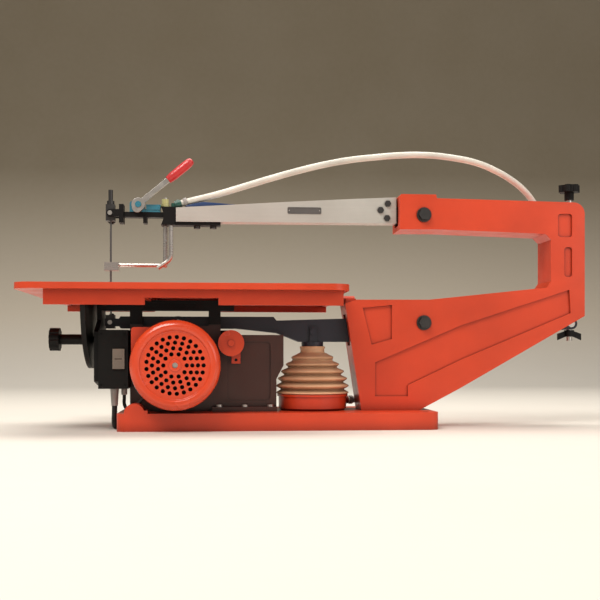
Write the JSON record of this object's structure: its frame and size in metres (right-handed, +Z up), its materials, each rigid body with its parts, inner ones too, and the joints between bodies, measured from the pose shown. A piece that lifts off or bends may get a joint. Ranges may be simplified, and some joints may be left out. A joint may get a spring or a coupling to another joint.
{
  "type": "scroll saw",
  "caption": "Parallel-arm scroll saw: hollow C-frame on a cast base, motor-driven rocking arms, tilting table, bellows blower and mains cord.",
  "frame": {"origin": "centre of the bench bolt pattern, on the base's underside", "axes": "+X from the operator's end to the rear of the C-frame, +Y to the operator's left, the side away from the motor's fan, +Z up"},
  "size_m": [0.763, 0.315, 0.3835],
  "materials": {
    "orange_paint": "gloss enamel on castings",
    "orange_plastic": "moulded",
    "dark_paint": "dark brown enamel",
    "black_paint": "satin",
    "blue_black_paint": "satin",
    "steel": "bright",
    "dark_steel": "blackened",
    "iron": "laminated",
    "bronze": "sintered",
    "aluminium": "brushed",
    "blue_plastic": "moulded",
    "green_plastic": "moulded",
    "black_plastic": "moulded",
    "grey_plastic": "moulded",
    "red_grip": "dipped",
    "cream_plastic": "moulded",
    "tan_rubber": "pleated",
    "white_hose": "smooth",
    "black_rubber": "smooth"
  },
  "bodies": {
    "saw_frame": {"base_casting": "orange_paint", "frame_near_half": "orange_paint", "frame_far_half": "orange_paint", "body_bolts": "steel", "motor_plate": "dark_paint", "table_rails": "black_paint", "front_plate": "black_paint", "motor_end_shield": "orange_paint", "motor_housing": "orange_paint", "motor_stator": "iron", "motor_bearings": "steel", "fan_cover": "orange_plastic", "capacitor": "orange_plastic", "switch_box": "black_plastic", "switch_cover": "grey_plastic", "cable_glands": "grey_plastic", "motor_lead": "black_rubber", "bellows_cup": "orange_plastic", "pivot_bolts": "dark_steel", "power_cord": "black_rubber", "cord_coil": "black_rubber", "power_plug": "black_plastic", "air_hose": "white_hose", "table_pivots": "steel"},
    "rotor": {"motor_shaft": "steel", "rotor_core": "iron", "cooling_fan": "black_plastic", "crank": "steel"},
    "drive_rod": {"connecting_rod": "steel"},
    "lower_arm_body": {"lower_arm": "blue_black_paint", "lower_bushes": "bronze", "lower_pins": "steel", "bellows_bracket": "steel", "bellows": "tan_rubber"},
    "upper_arm_body": {"upper_arm_tube": "aluminium", "upper_lever": "black_paint", "upper_bushes": "bronze", "blade_pin": "steel", "arm_screws": "dark_steel", "arm_nose": "black_plastic", "cam_housing": "blue_plastic", "hose_fitting": "green_plastic", "blower_pipe": "steel"},
    "lever": {"tension_lever": "steel", "lever_grip": "red_grip"},
    "guard": {"guard_rod": "steel"},
    "guard_nut": {"guard_knob": "cream_plastic"},
    "blade_unit": {"blade": "dark_steel", "upper_clamp": "dark_steel", "lower_clamp": "dark_steel"},
    "upper_screw": {"upper_thumb_screw": "dark_steel"},
    "lower_screw": {"lower_thumb_screw": "dark_steel"},
    "rear_rod": {"tension_rod": "steel"},
    "rear_knob": {"tension_knob": "black_plastic"},
    "rear_nut": {"wing_nut": "black_paint"},
    "table": {"table_top": "orange_paint", "table_insert": "steel", "tilt_quadrant": "black_paint"},
    "lock_knob": {"tilt_lock_knob": "black_plastic"},
    "switch": {"rocker_button": "grey_plastic"}
  },
  "joints": [
    {"name": "saw_stroke", "type": "hinge", "parent": "saw_frame", "child": "lower_arm_body", "pos_m": [0.196, 0, 0.142], "axis": [0, 1, 0], "range_deg": [-1.22, 1.22], "deforming": ["bellows"]},
    {"name": "upper_arm_pivot", "type": "hinge", "parent": "saw_frame", "child": "upper_arm_body", "pos_m": [0.196, 0, 0.289], "axis": [0, 1, 0], "range_deg": [-1.22, 1.22], "deforming": ["air_hose"]},
    {"name": "blade_pivot", "type": "hinge", "parent": "upper_arm_body", "child": "blade_unit", "pos_m": [-0.228, 0, 0.289], "axis": [0, 1, 0], "range_deg": [-1.22, 1.22]},
    {"name": "rod_pivot", "type": "hinge", "parent": "upper_arm_body", "child": "rear_rod", "pos_m": [0.41, 0, 0.289], "axis": [0, 1, 0], "range_deg": [-1.22, 1.22]},
    {"name": "conrod_pivot", "type": "hinge", "parent": "lower_arm_body", "child": "drive_rod", "pos_m": [-0.137, 0, 0.142], "axis": [0, 1, 0], "range_deg": [-1.22, 1.22]},
    {"name": "motor_spin", "type": "hinge", "parent": "saw_frame", "child": "rotor", "pos_m": [-0.137, 0, 0.085], "axis": [0, 1, 0], "continuous": true},
    {"name": "table_tilt", "type": "hinge", "parent": "saw_frame", "child": "table", "pos_m": [0, 0, 0.173], "axis": [-1, 0, 0], "range_deg": [-5, 45]},
    {"name": "lock_knob_turn", "type": "hinge", "parent": "saw_frame", "child": "lock_knob", "pos_m": [-0.3, 0, 0.119], "axis": [1, 0, 0], "range_deg": [-180, 180]},
    {"name": "lever_swing", "type": "hinge", "parent": "upper_arm_body", "child": "lever", "pos_m": [-0.19, -0.0135, 0.3], "axis": [0, 1, 0], "range_deg": [-90, 0]},
    {"name": "guard_slide", "type": "slide", "parent": "upper_arm_body", "child": "guard", "axis": [0, 0, 1], "range_m": [0, 0.025]},
    {"name": "guard_nut_turn", "type": "hinge", "parent": "upper_arm_body", "child": "guard_nut", "pos_m": [-0.155, 0.004, 0.304], "axis": [0, 0, 1], "range_deg": [-180, 180]},
    {"name": "upper_screw_turn", "type": "hinge", "parent": "blade_unit", "child": "upper_screw", "pos_m": [-0.228, 0.012, 0.281], "axis": [0, 1, 0], "range_deg": [-180, 180]},
    {"name": "lower_screw_turn", "type": "hinge", "parent": "blade_unit", "child": "lower_screw", "pos_m": [-0.228, 0.012, 0.15], "axis": [0, 1, 0], "range_deg": [-180, 180]},
    {"name": "rear_knob_turn", "type": "hinge", "parent": "rear_rod", "child": "rear_knob", "pos_m": [0.41, 0, 0.33], "axis": [0, 0, 1], "range_deg": [-180, 180]},
    {"name": "rear_nut_turn", "type": "hinge", "parent": "rear_rod", "child": "rear_nut", "pos_m": [0.41, 0, 0.128], "axis": [0, 0, 1], "range_deg": [-180, 180]},
    {"name": "switch_rock", "type": "hinge", "parent": "saw_frame", "child": "switch", "pos_m": [-0.211, -0.058, 0.093], "axis": [1, 0, 0], "range_deg": [-7, 7]}
  ],
  "couplings": [
    {"joint": "upper_arm_pivot", "follows": "saw_stroke", "ratio": 1},
    {"joint": "blade_pivot", "follows": "saw_stroke", "ratio": -1},
    {"joint": "rod_pivot", "follows": "saw_stroke", "ratio": -1},
    {"joint": "conrod_pivot", "follows": "saw_stroke", "ratio": -1}
  ]
}
